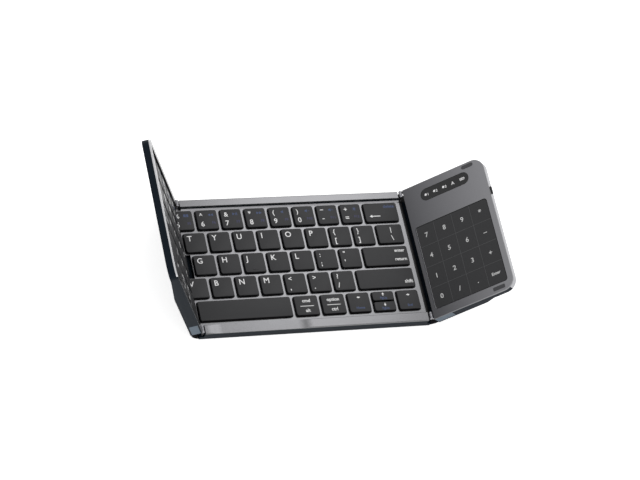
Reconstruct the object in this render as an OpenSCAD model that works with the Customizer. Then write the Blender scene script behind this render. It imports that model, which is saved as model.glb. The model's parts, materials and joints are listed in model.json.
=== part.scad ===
// Folding keyboard in three hinged panels: a centre panel of keys, a left panel of keys, and a
// right panel with a touch pad. The two outer panels fold over the centre, face to face.
// Origin: under the middle of the centre panel, on the surface that its feet stand on.
// +X to the right, +Y to the back, +Z up. Lengths are in millimetres, angles in degrees.

/* [Keys] */
// Width of one key cell
key_pitch_x = 17; // [16.8:0.1:17.3]
// Depth of one key cell
key_pitch_y = 16.6; // [16.2:0.1:17]
// Width of the wide key at the right end of the number row
backspace_w = 26.6; // [24:0.1:30]
// Width of each modifier key beside the space bar
modifier_w = 18.8; // [16.5:0.1:20]
// Width of each arrow key cell
arrow_w = 17.7; // [16:0.1:19]
// Bar of the frame between two key openings
bar_w = 1.5; // [1.3:0.1:1.8]
// Gap between a key cap and its opening, all round
key_clear = 0.3; // [0.2:0.05:0.4]
// Gap between the two half-height arrow keys
arrow_gap = 0.6; // [0.4:0.1:1]
// Corner radius of a key cap
cap_corner = 1.7; // [1:0.1:2]
// Height of the cap tops above the key plate
cap_top = 2.1; // [1.7:0.1:2.4]
// Height of the cap skirts above the key plate
cap_lift = 0.3; // [0.2:0.05:0.5]
// How far a cap's side leans in between its skirt and its top
cap_draft = 0.5; // [0.3:0.05:0.7]
// Height of a cap's upright skirt
skirt_h = 0.5; // [0.3:0.1:0.8]
// Thickness of a cap's top over its hollow
cap_skin = 0.8; // [0.7:0.05:0.9]
// Thickness of a cap's side walls
cap_wall = 1.2; // [1:0.1:1.5]

/* [Fold edge] */
// Start of the number row, from the left fold axis
number_row_x = -6.4; // [-7:0.1:-5.8]
// Start of the upper letter row, from the left fold axis
upper_row_x = -0.7; // [-0.9:0.1:-0.6]
// Start of the home row, from the left fold axis
home_row_x = 2.8; // [2.2:0.1:3.2]
// Start of the lower letter row, from the left fold axis
lower_row_x = -5.7; // [-6.4:0.1:-5]
// Start of the bottom row, from the left fold axis
bottom_row_x = -0.7; // [-0.9:0.1:-0.6]
// How far the centre panel runs past each fold axis, to the middle of the gap there
edge_over = 1.3; // [1.1:0.1:1.5]
// Gap between two panels along a fold
fold_gap = 0.6; // [0.5:0.05:0.7]
// Depth of a tab that reaches past the fold axis, below the key plate
tab_depth = 2.4; // [2.3:0.1:2.7]
// Reach of the dark ledge that closes the right fold from below
ledge_w = 2.3; // [1.5:0.1:2.6]
// Thickness of that ledge
ledge_t = 0.9; // [0.6:0.1:1.2]

/* [Panels] */
// Width of the right panel, from its fold axis to its free edge
right_w = 62.4; // [60:0.1:66]
// Gap between the mode button and the left panel's free edge when both panels are closed
close_clear = 0.4; // [0.3:0.1:1]
// Space between the key field and the right fold axis
right_margin = 3.5; // [3.2:0.1:4.5]
// Width of the rim at the left panel's free edge
left_rim_w = 4.2; // [3.5:0.1:5]
// Space between that rim and the left panel's keys
left_margin = 0.8; // [0.6:0.1:1.5]
// Width of the front rail
front_rail_w = 6.2; // [5.8:0.1:7]
// Space between the keys and the front rail
front_margin = 2.1; // [1.4:0.1:2.8]
// Width of the back rail
back_rail_w = 5.2; // [5:0.1:6]
// Space between the keys and the back rail
back_margin = 1.2; // [1:0.1:2]
// Radius of the outer panels' free corners
corner_r = 8; // [6:0.5:10]
// Width of the left panel's thick block, from the fold axis
left_block_w = 60; // [52:1:66]
// Width of the right panel's thick block, from the fold axis
right_block_w = 38; // [36:0.5:42]
// Length of the slope from the left block to the thin end
left_slope_w = 24; // [16:1:26]
// Length of the slope from the right block to the thin end
right_slope_w = 6; // [4:0.5:10]

/* [Heights] */
// Height of the rails above the key plate
rail_h = 3; // [2.8:0.1:3.4]
// Thickness of the metal rails and of the left panel's rim
rail_t = 1.1; // [0.9:0.1:1.3]
// Bevel along the rails' long edges
rail_bevel = 0.3; // [0.1:0.05:0.4]
// Thickness of the key plates
plate_t = 1; // [0.9:0.05:1.1]
// Thickness of the switch sheets
sheet_t = 0.5; // [0.4:0.05:0.6]
// Thickness of the centre panel's steel support plate
support_t = 0.3; // [0.25:0.05:0.4]
// Depth of the trays below the key plate
tray_depth = 5; // [4.8:0.1:5.6]
// Thickness of the trays' floors
floor_t = 0.9; // [0.8:0.05:1]
// Thickness of the trays' outer walls
wall_t = 1.4; // [1.2:0.1:1.8]
// Whole thickness of the outer panels at their free ends
thin_t = 5.4; // [5.3:0.1:5.9]
// Height of the feet below the trays
foot_h = 0.5; // [0.4:0.1:0.8]
// Depth of the recess that each foot is set in
foot_seat = 0.3; // [0.2:0.05:0.4]
// Clearance between fixed parts that sit in one another
seat_clear = 0.1; // [0.05:0.01:0.12]

/* [Hinges] */
// Angle of the left panel from flat, as it stands open
left_open = 65.3; // [0:0.1:175]
// Angle of the right panel from flat, as it stands open
right_open = 46.8; // [0:0.1:175]
// Height of the fold axes above the rails
axis_lift = 0.2; // [0.15:0.05:0.3]
// Radius of the hinge barrels
barrel_r = 1.2; // [1.1:0.05:1.3]
// Radius of the hinge pins
pin_r = 0.5; // [0.4:0.05:0.6]
// Radial clearance of the pins in the knuckles
pin_clear = 0.04; // [0.02:0.01:0.08]
// Length of the middle knuckle
middle_knuckle = 1.9; // [1.6:0.1:2]
// Length of each outer knuckle
outer_knuckle = 1.2; // [1:0.05:1.3]
// Gap between two knuckles
knuckle_gap = 0.15; // [0.1:0.01:0.2]
// Gap between a fold axis and the end of a rail
rail_end = 1.9; // [1.7:0.1:2.2]
// Thickness of the hinge leaves
leaf_t = 0.8; // [0.6:0.05:0.9]
// Width of the centre panel's hinge leaves
leaf_w = 3.8; // [3:0.1:4]
// Length of the hinge leaves from the fold axis
leaf_len = 14.5; // [12:0.5:16]
// Depth of the leaves' tops below the fold axis
leaf_drop = 4.6; // [4.4:0.1:4.8]
// Depth of an outer panel's hinge block below the fold axis
block_depth = 7.1; // [6.8:0.1:7.3]

/* [Right panel] */
// Thickness of the touch panel's frame
frame_t = 1.2; // [1:0.05:1.4]
// Left edge of the touch glass, from the fold axis
glass_x = 4.2; // [3.8:0.1:5]
// Width of the touch glass's border at the panel's free edge
glass_border = 3.9; // [3.4:0.1:5]
// Front edge of the touch glass, from the middle of the panel
glass_y = -42.8; // [-43.5:0.1:-41]
// Depth of the touch glass
glass_d = 61.4; // [58:0.1:64]
// How far glass and lens lie below the frame
glass_drop = 0.1; // [0.05:0.01:0.2]
// Corner radius of the touch glass
glass_corner = 2; // [1:0.5:3]
// Thickness of the touch board under the glass
touch_board_t = 0.8; // [0.6:0.1:1]
// Overlap of the touch board and the lens under the frame
under_lap = 1; // [0.6:0.1:1.4]
// Left end of the indicator lens, from the fold axis
lens_x = 13.9; // [12:0.1:16]
// Length of the indicator lens
lens_w = 36.4; // [34:0.1:38]
// Width of the indicator lens
lens_d = 8.6; // [8:0.1:9.4]
// Middle of the indicator lens, from the middle of the panel
lens_y = 38.8; // [36:0.1:39.4]
// Thickness of the lens's flange under the frame
lens_flange_t = 0.4; // [0.3:0.05:0.6]
// Length of the corner bumpers
bumper_w = 8.6; // [7:0.1:10]
// Width of the corner bumpers
bumper_d = 2.6; // [2:0.1:3]
// Distance from the corner bumpers to the panel's free edge
bumper_gap = 6.9; // [6:0.1:9]
// Height of the bumpers above the frame
bumper_h = 0.15; // [0.1:0.01:0.2]
// Depth of the recess for each bumper
bumper_seat = 0.5; // [0.4:0.05:0.7]
// Width of the battery
battery_w = 29.5; // [24:0.5:30]
// Length of the battery
battery_d = 76; // [60:1:80]
// Thickness of the battery
battery_t = 4.2; // [3:0.1:4.4]
// Middle of the mode button, from the middle of the panel
button_y = 23.5; // [18:0.1:28]
// Length of the mode button
button_w = 5.4; // [4:0.1:7]
// Height of the mode button
button_h = 1.3; // [1:0.1:1.5]
// How far the mode button stands out
button_out = 0.9; // [0.7:0.05:1.1]
// Travel of the mode button
button_travel = 0.4; // [0.3:0.05:0.5]

/* [Centre details] */
// Left end of the thumb scoop in the front rail
scoop_x = -74; // [-76:0.5:-60]
// Length of the thumb scoop
scoop_w = 68; // [50:1:80]
// Length of the scoop's sloping ends
scoop_slope = 5.4; // [3:0.1:8]
// Depth of the thumb scoop
scoop_depth = 0.6; // [0.3:0.05:0.8]
// Middle of the power slider
slider_x = 24; // [10:0.5:30]
// Width of the power slider's knob
slider_w = 6.4; // [5:0.1:7]
// Height of the power slider's knob
slider_h = 1.6; // [1.2:0.1:2]
// How far the knob stands out of the back
slider_out = 0.7; // [0.5:0.05:1]
// Travel of the power slider
slider_travel = 3; // [2:0.1:3.5]
// Running gap round the slider and the mode button
slide_clear = 0.15; // [0.1:0.01:0.2]
// Middle of the charging socket
socket_x = 44; // [38:0.5:60]
// Width of the charging socket's shell
socket_w = 8.9; // [8.8:0.1:9.1]
// Height of the charging socket's shell
socket_h = 3.2; // [3.1:0.05:3.3]
// Depth of the charging socket
socket_d = 4.9; // [4.6:0.1:5]
// Wall of the charging socket's shell
socket_wall = 0.3; // [0.2:0.05:0.35]
// Width of the control board
board_w = 70; // [50:1:80]
// Depth of the control board
board_d = 24; // [18:1:30]
// Thickness of the control board
board_t = 0.8; // [0.6:0.1:1]
// Diameter of the contact pads under the keys
pad_dia = 4; // [3:0.5:5]
// Height of the contact pads
pad_h = 0.6; // [0.4:0.05:0.7]

/* [Feet and screws] */
// Length of the centre panel's feet
foot_w = 90; // [60:1:120]
// Length of the outer panels' feet
wing_foot_w = 12; // [8:1:20]
// Width of all feet
foot_d = 5; // [4:0.1:6]
// Distance from the middle of the feet to the panel's front and back faces
foot_inset = 14; // [10:0.5:20]
// Radius of the screws' shafts
screw_r = 0.7; // [0.6:0.05:0.8]
// Radius of the screws' heads
head_r = 1.4; // [1.2:0.05:1.6]
// Height of the screws' heads
head_h = 0.5; // [0.4:0.05:0.6]
// Radial clearance of the screws
screw_clear = 0.05; // [0.03:0.01:0.08]
// Distance of the hinge leaves' screws from the leaves' ends
leaf_screw_inset = 4; // [2.5:0.1:5]
// Radius of the bosses inside the centre panel
boss_r = 2.2; // [1.8:0.1:3]

/* [Hidden] */
$fn = 40;
rows = 5;
corner_steps = 4;
wide_steps = 12;
letter_cells = 8;
home_cells = 7;
cut = 1;
// Plan of the centre panel
row_x = [number_row_x, upper_row_x, home_row_x, lower_row_x, bottom_row_x];
row_cells = [letter_cells, letter_cells, home_cells, home_cells];
field_w = number_row_x + letter_cells * key_pitch_x + backspace_w;
fold_span = field_w + right_margin;
left_axis_x = -fold_span / 2;
right_axis_x = fold_span / 2;
depth = front_rail_w + front_margin + rows * key_pitch_y + back_margin + back_rail_w;
field_back = depth / 2 - back_rail_w - back_margin;
well_front = -depth / 2 + front_rail_w;
well_back = depth / 2 - back_rail_w;
left_w = fold_span - right_w - button_out - close_clear;
glass_w = right_w - glass_x - glass_border;
bumper_x = right_w - bumper_gap - bumper_w / 2;
left_field_w = left_w - left_rim_w - left_margin;
half_gap = fold_gap / 2;
// The fold edge from the back to the front: one x for the back rail, each row and the front rail
band_x = concat([-edge_over], row_x, [-edge_over]);
band_y = concat([depth / 2], [for (r = [0:rows]) field_back - r * key_pitch_y], [-depth / 2]);
// The same edge where the panels are too deep for tabs past the axis
centre_deep_x = [for (x = band_x) max(x, -edge_over)];
centre_floor_x = [for (x = centre_deep_x) min(x, upper_row_x)];
left_deep_x = [for (x = band_x) min(x, -edge_over)];
// Heights, from the key plate's surface
plate_z = tray_depth + foot_h;
axis_h = rail_h + axis_lift;
rail_seat = rail_h - rail_t;
sheet_z = -plate_t - sheet_t;
deck_z = sheet_z - support_t;
floor_z = -tray_depth + floor_t;
thin_z = rail_h - thin_t;
frame_z = rail_h - frame_t;
cap_inset = bar_w / 2 + key_clear;
cap_h = cap_top - cap_lift;
key_travel = cap_lift + plate_t - seat_clear;
// The home row's tab swings round the left axis, and the floor under it lies below its circle
tab_swing = norm([home_row_x, axis_h + tab_depth]);
tab_floor_z = axis_h - tab_swing - fold_gap;
barrel_len = middle_knuckle + 2 * (outer_knuckle + knuckle_gap);
front_hinge_y = -depth / 2 + front_rail_w / 2;
back_hinge_y = depth / 2 - back_rail_w / 2;
leaf_z = axis_h - leaf_drop;
leaf_screw_x = leaf_len - leaf_screw_inset;
wing_x = edge_over + half_gap;
block_top_z = min(rail_seat, frame_z);
undercut_x = wing_x + ledge_w + 2 * fold_gap;
undercut_z = -plate_t + fold_gap / 2;
slider_z = (rail_seat + deck_z) / 2;
socket_z = floor_z + board_t + socket_h / 2;
button_z = (thin_z + floor_t + frame_z) / 2;
button_flange = wall_t / 2;
foot_y = depth / 2 - foot_inset;
// Chips on the board: distance from its left and back edges, length, width and height
chips = [[8, 6, 10, 10, 1], [26, 6, 6, 6, 0.8], [50, 14, 6, 6, 0.8]];
boss_at = [[-46, 10], [46, 10], [0, -24]];
centre_screw_at = [for (x = [left_axis_x + leaf_screw_x, right_axis_x - leaf_screw_x],
    y = [front_hinge_y, back_hinge_y]) [x, y]];
wing_screw_at = [[leaf_screw_x, front_hinge_y], [leaf_screw_x, back_hinge_y]];

plastic = "#333c46";
metal = "#a7a8aa";
dark_metal = "#6a6a6d";
key_colour = "#3b3b3d";

// ---- Plan outlines ----

function arc(cx, cy, r, a0, a1, n) = [for (i = [0:n]) let (a = a0 + (a1 - a0) * i / n)
    [cx + r * cos(a), cy + r * sin(a)]];

function round_points(x, y, w, h, r, n) = concat(
    arc(x + r, y + r, r, 180, 270, n), arc(x + w - r, y + r, r, 270, 360, n),
    arc(x + w - r, y + h - r, r, 0, 90, n), arc(x + r, y + h - r, r, 90, 180, n));

// The fold edge of one panel: side is 1 for the centre panel and -1 for the left one
function edge_points(xs, side, shift) = [for (i = [0:len(xs) - 1]) each [
    [shift + xs[i] + side * half_gap,
        band_y[i] + (i == 0 ? 0 : side * half_gap * sign(xs[i] - xs[i - 1]))],
    [shift + xs[i] + side * half_gap,
        band_y[i + 1] + (i == len(xs) - 1 ? 0 : side * half_gap * sign(xs[i + 1] - xs[i]))]]];

// Each row's cells as [left, width]
function cells(x, widths) = [for (i = 0, at = x; i < len(widths); at = at + widths[i], i = i + 1)
    [at, widths[i]]];

function repeat(value, n) = [for (i = [1:n]) value];

function centre_row(r) = r < rows - 1
    ? cells(left_axis_x + row_x[r], concat(repeat(key_pitch_x, row_cells[r]),
        [field_w - row_x[r] - row_cells[r] * key_pitch_x]))
    : cells(left_axis_x + row_x[r], concat(
        [field_w - row_x[r] - 2 * modifier_w - 3 * arrow_w],
        repeat(modifier_w, 2), repeat(arrow_w, 3)));

// The lower letter row has one whole key less, and the bottom row starts with the wide keys
function left_row(r) = let (n = r == 3 ? 3 : 4, rest = left_field_w + row_x[r] - n * key_pitch_x)
    cells(-left_field_w, r < rows - 1 ? concat([rest], repeat(key_pitch_x, n))
        : concat(repeat(key_pitch_x, n), [rest]));

function row_y(r) = field_back - (r + 1) * key_pitch_y;

module round_rect(x, y, w, h, r, n = corner_steps) polygon(round_points(x, y, w, h, r, n));

module centre_outline(xs, past = edge_over - half_gap) {
    polygon(concat(edge_points(xs, 1, left_axis_x),
        [[right_axis_x + past, -depth / 2], [right_axis_x + past, depth / 2]]));
}

module left_outline(xs) {
    polygon(concat(edge_points(xs, -1, 0),
        arc(-left_w + corner_r, -depth / 2 + corner_r, corner_r, 270, 180, wide_steps),
        arc(-left_w + corner_r, depth / 2 - corner_r, corner_r, 180, 90, wide_steps)));
}

module right_outline(inset = 0) {
    r = corner_r - inset;
    polygon(concat([[wing_x + inset, depth / 2 - inset], [wing_x + inset, -depth / 2 + inset]],
        arc(right_w - corner_r, -depth / 2 + corner_r, r, 270, 360, wide_steps),
        arc(right_w - corner_r, depth / 2 - corner_r, r, 0, 90, wide_steps)));
}

// The flat part of the centre panel between the two rails
module centre_well(xs, past, gap) {
    intersection() {
        centre_outline(xs, past);
        translate([left_axis_x - cut - 10, well_front + gap])
            square([fold_span + 2 * cut + 20, well_back - well_front - 2 * gap]);
    }
}

// The part of the left panel inside its rim, widened by lap
module left_well(lap) {
    translate([-left_w + left_rim_w - lap, well_front - lap])
        square([left_w + 10, well_back - well_front + 2 * lap]);
}

module slab(z0, z1) translate([0, 0, z0]) linear_extrude(z1 - z0) children();

module block(x0, x1, y0, y1, z0, z1) {
    translate([x0, y0, z0]) cube([x1 - x0, y1 - y0, z1 - z0]);
}

// A long shape of constant section in the XZ plane, over the whole depth
module along_y() translate([0, depth / 2, 0]) rotate([90, 0, 0]) linear_extrude(depth) children();

module along_x(x0, x1) {
    translate([x0, 0, 0]) rotate([90, 0, 90]) linear_extrude(x1 - x0) children();
}

module peg(x, y, z0, z1, r) translate([x, y, z0]) cylinder(h = z1 - z0, r = r);

module on_centre() translate([0, 0, plate_z]) children();

module on_left() {
    translate([left_axis_x, 0, plate_z + axis_h]) rotate([0, left_open, 0])
        translate([0, 0, -axis_h]) children();
}

module on_right() {
    translate([right_axis_x, 0, plate_z + axis_h]) rotate([0, -right_open, 0])
        translate([0, 0, -axis_h]) children();
}

// ---- Keys ----

module cap(x, y, w, h) {
    inset = cap_inset;
    cw = w - 2 * inset;
    ch = h - 2 * inset;
    translate([x + inset, y + inset, cap_lift]) difference() {
        intersection() {
            linear_extrude(cap_h) round_rect(0, 0, cw, ch, cap_corner);
            translate([0, ch + cut, 0]) rotate([90, 0, 0]) linear_extrude(ch + 2 * cut)
                cap_section(cw);
            translate([-cut, 0, 0]) rotate([90, 0, 90]) linear_extrude(cw + 2 * cut)
                cap_section(ch);
        }
        block(cap_wall, cw - cap_wall, cap_wall, ch - cap_wall, -cut, cap_h - cap_skin);
    }
}

module cap_section(w) {
    polygon([[0, 0], [w, 0], [w, skirt_h], [w - cap_draft, cap_h], [cap_draft, cap_h],
        [0, skirt_h]]);
}

module caps(row, y, h, picks) {
    color(key_colour) for (i = picks) cap(row[i][0], y, row[i][1], h);
}

module centre_keys(r, picks) on_centre() caps(centre_row(r), row_y(r), key_pitch_y, picks);

module left_keys(r) on_left() {
    caps(left_row(r), row_y(r), key_pitch_y, [0:len(left_row(r)) - 1]);
}

module openings(row, y) {
    for (c = row) round_rect(c[0] + bar_w / 2, y + bar_w / 2, c[1] - bar_w,
        key_pitch_y - bar_w, cap_corner + key_clear);
}

module pads(row, y) {
    for (c = row) peg(c[0] + c[1] / 2, y + key_pitch_y / 2, -plate_t, -plate_t + pad_h, pad_dia / 2);
}

module number_keys() centre_keys(0, [0:letter_cells - 1]);
module backspace_key() centre_keys(0, [letter_cells]);
module key_t() centre_keys(1, [0]);
module key_y() centre_keys(1, [1]);
module key_u() centre_keys(1, [2]);
module key_i() centre_keys(1, [3]);
module key_o() centre_keys(1, [4]);
module key_p() centre_keys(1, [5]);
module bracket_keys() centre_keys(1, [6:letter_cells]);
module key_g() centre_keys(2, [0]);
module key_h() centre_keys(2, [1]);
module key_j() centre_keys(2, [2]);
module key_k() centre_keys(2, [3]);
module key_l() centre_keys(2, [4]);
module sign_keys() centre_keys(2, [5:home_cells - 1]);
module enter_key() centre_keys(2, [home_cells]);
module key_v() centre_keys(3, [0]);
module key_b() centre_keys(3, [1]);
module key_n() centre_keys(3, [2]);
module key_m() centre_keys(3, [3]);
module stop_keys() centre_keys(3, [4:home_cells - 1]);
module right_shift_key() centre_keys(3, [home_cells]);
module space_bar() centre_keys(4, [0]);
module modifier_keys() centre_keys(4, [1, 2]);
module left_number_keys() left_keys(0);
module left_upper_keys() left_keys(1);
module left_home_keys() left_keys(2);
module left_lower_keys() left_keys(3);
module left_bottom_keys() left_keys(4);

module arrow_keys() {
    centre_keys(4, [3, 5]);
    c = centre_row(4)[4];
    half = (key_pitch_y - arrow_gap) / 2 + cap_inset;
    on_centre() for (y = [row_y(4), row_y(4) + key_pitch_y - half])
        color(key_colour) cap(c[0], y, c[1], half);
}

// ---- Hinges ----

module barrel(y, length, r) {
    translate([0, y + length / 2, axis_h]) rotate([90, 0, 0]) cylinder(h = length, r = r);
}

// One leaf of the centre panel: x runs inwards from the fold axis
module inner_leaf() difference() {
    union() {
        barrel(0, middle_knuckle, barrel_r);
        block(barrel_r - leaf_t, barrel_r, -middle_knuckle / 2, middle_knuckle / 2,
            leaf_z - leaf_t, axis_h);
        block(barrel_r - leaf_t, leaf_len, -leaf_w / 2, leaf_w / 2, leaf_z - leaf_t, leaf_z);
    }
    barrel(0, middle_knuckle + 2 * cut, pin_r + pin_clear);
    peg(leaf_screw_x, 0, leaf_z - 2 * leaf_t, leaf_z + leaf_t, screw_r + screw_clear);
}

// One leaf of an outer panel: x runs outwards from the fold axis, and out is the side it shows on
module outer_leaf(out, rail_w) difference() {
    union() {
        for (side = [-1, 1]) {
            y = side * (middle_knuckle + outer_knuckle + 2 * knuckle_gap) / 2;
            barrel(y, outer_knuckle, barrel_r);
            block(barrel_r - leaf_t, wing_x + leaf_t, y - outer_knuckle / 2, y + outer_knuckle / 2,
                block_top_z - leaf_t, block_top_z);
            block(barrel_r - leaf_t, barrel_r, y - outer_knuckle / 2, y + outer_knuckle / 2,
                block_top_z - leaf_t, axis_h);
        }
        block(wing_x, leaf_len, -(out > 0 ? barrel_len : rail_w) / 2,
            (out > 0 ? rail_w : barrel_len) / 2, axis_h - block_depth, block_top_z);
    }
    barrel(0, barrel_len + 2 * cut, pin_r + pin_clear);
    peg(leaf_screw_x, 0, axis_h - block_depth - cut, axis_h - block_depth + 2.4,
        screw_r + screw_clear);
}

module centre_hinge_leaves() on_centre() color("#8c8f93") {
    for (y = [front_hinge_y, back_hinge_y]) {
        translate([left_axis_x, y, 0]) inner_leaf();
        translate([right_axis_x, y, 0]) mirror([1, 0, 0]) inner_leaf();
    }
}

module left_hinge_leaves() on_left() color("#66788a") mirror([1, 0, 0]) wing_leaves();

module right_hinge_leaves() on_right() color("#66788a") wing_leaves();

module wing_leaves() {
    translate([0, front_hinge_y, 0]) outer_leaf(-1, front_rail_w);
    translate([0, back_hinge_y, 0]) outer_leaf(1, back_rail_w);
}

module hinge_pins() on_centre() color("#c4c6c8") {
    for (x = [left_axis_x, right_axis_x], y = [front_hinge_y, back_hinge_y])
        translate([x, y, 0]) barrel(0, barrel_len, pin_r);
}

// ---- Fasteners and feet ----

module screw(x, y, z1) difference() {
    union() {
        peg(x, y, -tray_depth + foot_seat, -tray_depth + foot_seat + head_h, head_r);
        peg(x, y, -tray_depth + foot_seat, z1, screw_r);
    }
    translate([x, y, -tray_depth + foot_seat - cut]) cylinder(h = cut + head_h / 2, r = screw_r,
        $fn = 6);
}

module screw_hole(x, y, z1) {
    peg(x, y, -tray_depth - cut, -tray_depth + foot_seat + head_h + seat_clear,
        head_r + screw_clear);
    peg(x, y, -tray_depth, z1, screw_r + screw_clear);
}

module foot(x, y, w, d, grow = 0) {
    slab(-tray_depth - (grow > 0 ? cut : foot_h), -tray_depth + foot_seat)
        round_rect(x - w / 2 - grow, y - d / 2 - grow, w + 2 * grow, d + 2 * grow, d / 2 + grow - 0.01,
            wide_steps);
}

module centre_screws() on_centre() color("#8c8f93") {
    for (p = centre_screw_at) screw(p[0], p[1], leaf_z + leaf_t / 2);
    for (p = boss_at) screw(p[0], p[1], deck_z - seat_clear);
}

module centre_feet() on_centre() color("#1c1c1e") {
    for (y = [-foot_y, 0, foot_y]) foot(0, y, foot_w, foot_d);
}

module wing_feet(thick_w, grow = 0) {
    for (y = [-foot_y, foot_y]) foot(thick_w / 2 + wall_t, y, wing_foot_w, foot_d, grow);
}

module left_feet() on_left() color("#1c1c1e") mirror([1, 0, 0]) wing_feet(left_block_w);
module right_feet() on_right() color("#1c1c1e") wing_feet(right_block_w);

module wing_screws() {
    for (p = wing_screw_at) screw(p[0], p[1], axis_h - block_depth + 2);
}

module left_screws() on_left() color("#8c8f93") mirror([1, 0, 0]) wing_screws();
module right_screws() on_right() color("#8c8f93") wing_screws();

// ---- Centre panel ----

module slider_slot() {
    x0 = slider_x - slider_w / 2 - slide_clear;
    x1 = slider_x + slider_w / 2 + slider_travel + slide_clear;
    block(x0, x1, well_back + wall_t, depth / 2 + cut, slider_z - slider_h / 2 - slide_clear,
        slider_z + slider_h / 2 + slide_clear);
    block(x0 - wall_t, x1 + wall_t, well_back + wall_t, depth / 2 - wall_t,
        slider_z - slider_h - slide_clear, rail_seat + cut);
}

module leaf_slots() {
    for (y = [front_hinge_y, back_hinge_y]) {
        block(-edge_over - cut, rail_end, y < 0 ? -depth / 2 - cut : well_back,
            y < 0 ? well_front : depth / 2 + cut, leaf_z - leaf_t, rail_h + cut);
        block(0, leaf_len + seat_clear, y - leaf_w / 2 - seat_clear, y + leaf_w / 2 + seat_clear,
            leaf_z - leaf_t - seat_clear / 2, leaf_z + seat_clear);
        block(leaf_screw_x - head_r, leaf_screw_x + head_r, y - head_r, y + head_r,
            leaf_z, leaf_z + leaf_t);
    }
}

module centre_tray() on_centre() color(plastic) difference() {
    union() {
        slab(-tray_depth, tab_floor_z) centre_outline(centre_floor_x);
        slab(tab_floor_z, deck_z) centre_outline(centre_deep_x);
        slab(-tab_depth, deck_z) centre_well(band_x, edge_over - half_gap, seat_clear);
        intersection() {
            slab(deck_z, rail_seat) centre_outline(centre_deep_x);
            union() {
                block(left_axis_x - 10, right_axis_x + 10, -depth, well_front, deck_z, rail_h);
                block(left_axis_x - 10, right_axis_x + 10, well_back, depth, deck_z, rail_h);
            }
        }
        block(right_axis_x, right_axis_x + edge_over - half_gap, well_front, well_back,
            deck_z, -plate_t);
        block(right_axis_x, right_axis_x + edge_over - half_gap + ledge_w,
            well_front + cut, well_back - cut, -plate_t - ledge_t, -plate_t);
    }
    // The hollow for the board, with bosses for the screws
    difference() {
        block(left_axis_x + home_row_x + 3, right_axis_x - 3, well_front + wall_t,
            well_back - wall_t, floor_z, deck_z + cut);
        for (p = boss_at) peg(p[0], p[1], floor_z - cut, deck_z + 2 * cut, boss_r);
    }
    translate([left_axis_x, 0, 0]) leaf_slots();
    translate([right_axis_x, 0, 0]) mirror([1, 0, 0]) leaf_slots();
    for (p = centre_screw_at) screw_hole(p[0], p[1], leaf_z);
    for (p = boss_at) screw_hole(p[0], p[1], deck_z + cut);
    for (y = [-foot_y, 0, foot_y]) foot(0, y, foot_w, foot_d, screw_clear);
    slider_slot();
    // The socket's opening and the board's tongue below it
    translate([0, depth / 2 + cut, 0]) rotate([90, 0, 0])
        linear_extrude(socket_d + cut + seat_clear)
            socket_outline(seat_clear);
    block(socket_x - socket_w / 2 - cut, socket_x + socket_w / 2 + cut, well_back - 2 * wall_t,
        depth / 2 - wall_t, floor_z, floor_z + board_t + seat_clear);
}

module centre_top_frame() on_centre() color(metal) slab(-plate_t, 0) difference() {
    centre_well(band_x, edge_over - half_gap, seat_clear / 2);
    for (r = [0:rows - 1]) openings(centre_row(r), row_y(r));
}

module centre_switch_sheet() on_centre() color("#202226") {
    slab(sheet_z, -plate_t) centre_well(band_x, -seat_clear, seat_clear);
    for (r = [0:rows - 2]) pads(centre_row(r), row_y(r));
    pads([for (i = [0:3]) centre_row(4)[i]], row_y(4));
    pads([centre_row(4)[5]], row_y(4));
    c = centre_row(4)[4];
    for (y = [row_y(4) + key_pitch_y / 4, row_y(4) + key_pitch_y * 3 / 4])
        peg(c[0] + c[1] / 2, y, -plate_t, -plate_t + pad_h, pad_dia / 4);
}

module centre_support_plate() on_centre() color("#b9bbbd") {
    slab(deck_z, sheet_z) centre_well(band_x, -seat_clear, seat_clear);
}

module rail_section(w) {
    polygon([[0, rail_seat], [w, rail_seat], [w, rail_h - rail_bevel], [w - rail_bevel, rail_h],
        [rail_bevel, rail_h], [0, rail_h - rail_bevel]]);
}

module back_rail() on_centre() color(metal) {
    translate([0, well_back, 0]) along_x(left_axis_x + rail_end, right_axis_x - rail_end)
        rail_section(back_rail_w);
}

module front_rail() on_centre() color(metal) difference() {
    translate([0, -depth / 2, 0]) along_x(left_axis_x + rail_end, right_axis_x - rail_end)
        rail_section(front_rail_w);
    translate([scoop_x, 0, rail_h]) along_y() polygon([[0, 0], [scoop_slope, -scoop_depth],
        [scoop_w - scoop_slope, -scoop_depth], [scoop_w, 0], [scoop_w, cut], [0, cut]]);
}

module control_board() on_centre() {
    x0 = socket_x - board_w / 2 - 12;
    y1 = well_back - wall_t - seat_clear;
    color("#1f5a3c") {
        block(x0, x0 + board_w, y1 - board_d, y1, floor_z, floor_z + board_t);
        block(socket_x - socket_w / 2, socket_x + socket_w / 2, y1 - cut,
            depth / 2 - wall_t - seat_clear, floor_z, floor_z + board_t);
    }
    color("#202226") {
        for (c = chips) block(x0 + c[0], x0 + c[0] + c[2], y1 - c[1] - c[3], y1 - c[1],
            floor_z + board_t, floor_z + board_t + c[4]);
    }
}

module socket_outline(grow) {
    round_rect(socket_x - socket_w / 2 - grow, socket_z - socket_h / 2 - grow,
        socket_w + 2 * grow, socket_h + 2 * grow, socket_h / 2 + grow - 0.05, 8);
}

module charge_socket() on_centre() color("#c4c6c8") translate([0, depth / 2, 0])
    rotate([90, 0, 0]) {
        difference() {
            linear_extrude(socket_d) socket_outline(0);
            translate([0, 0, -cut]) linear_extrude(socket_d) socket_outline(-socket_wall);
        }
        tongue_w = socket_w - 2.3;
        translate([socket_x - tongue_w / 2, socket_z - 0.35, 0.6])
            cube([tongue_w, 0.7, socket_d - cut]);
    }

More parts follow.
